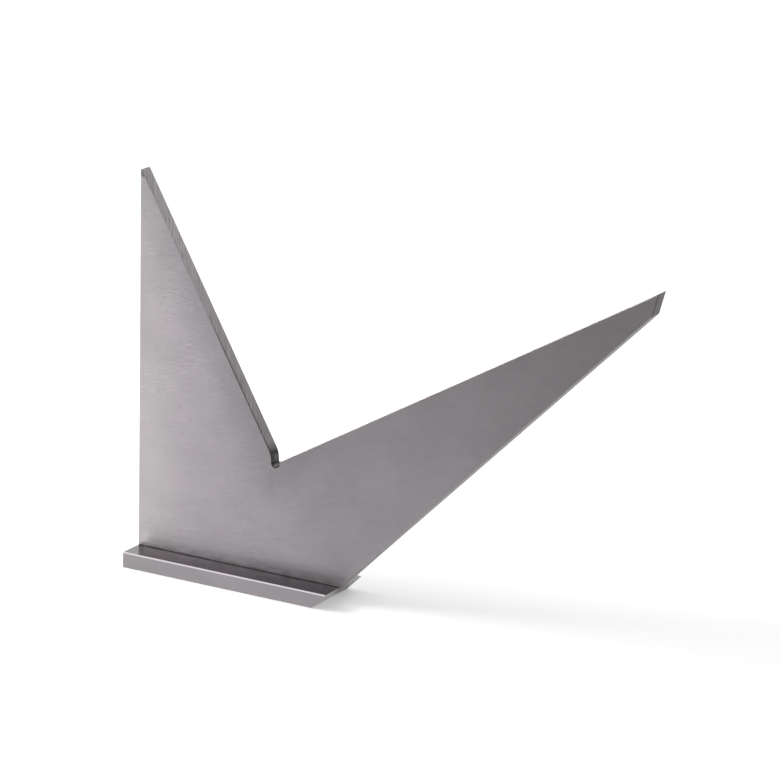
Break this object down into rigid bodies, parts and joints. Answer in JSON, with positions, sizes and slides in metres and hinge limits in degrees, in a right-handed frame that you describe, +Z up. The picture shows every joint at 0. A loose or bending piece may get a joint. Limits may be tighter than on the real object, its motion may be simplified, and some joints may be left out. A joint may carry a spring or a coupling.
{
  "type": "mitre square",
  "caption": "Mitre square with a flat back: a V-shaped ground steel blade with a square edge and a 45 degree underside in line with the back's mitred end.",
  "frame": {"origin": "centre of the underside of the back, on the middle plane of the blade", "axes": "+X along the back, from the square end towards the mitre arm; +Z up, from the back to the tip of the tall arm; +Y through the blade's thickness, away from the side that the picture shows"},
  "size_m": [0.1935, 0.024, 0.137],
  "materials": {
    "blade_steel": "fine surface ground, satin, with faint grinding lines",
    "back_steel": "surface ground, semi-gloss, with bright broken edges"
  },
  "bodies": {
    "root": {"blade": "blade_steel", "back": "back_steel"}
  },
  "joints": []
}
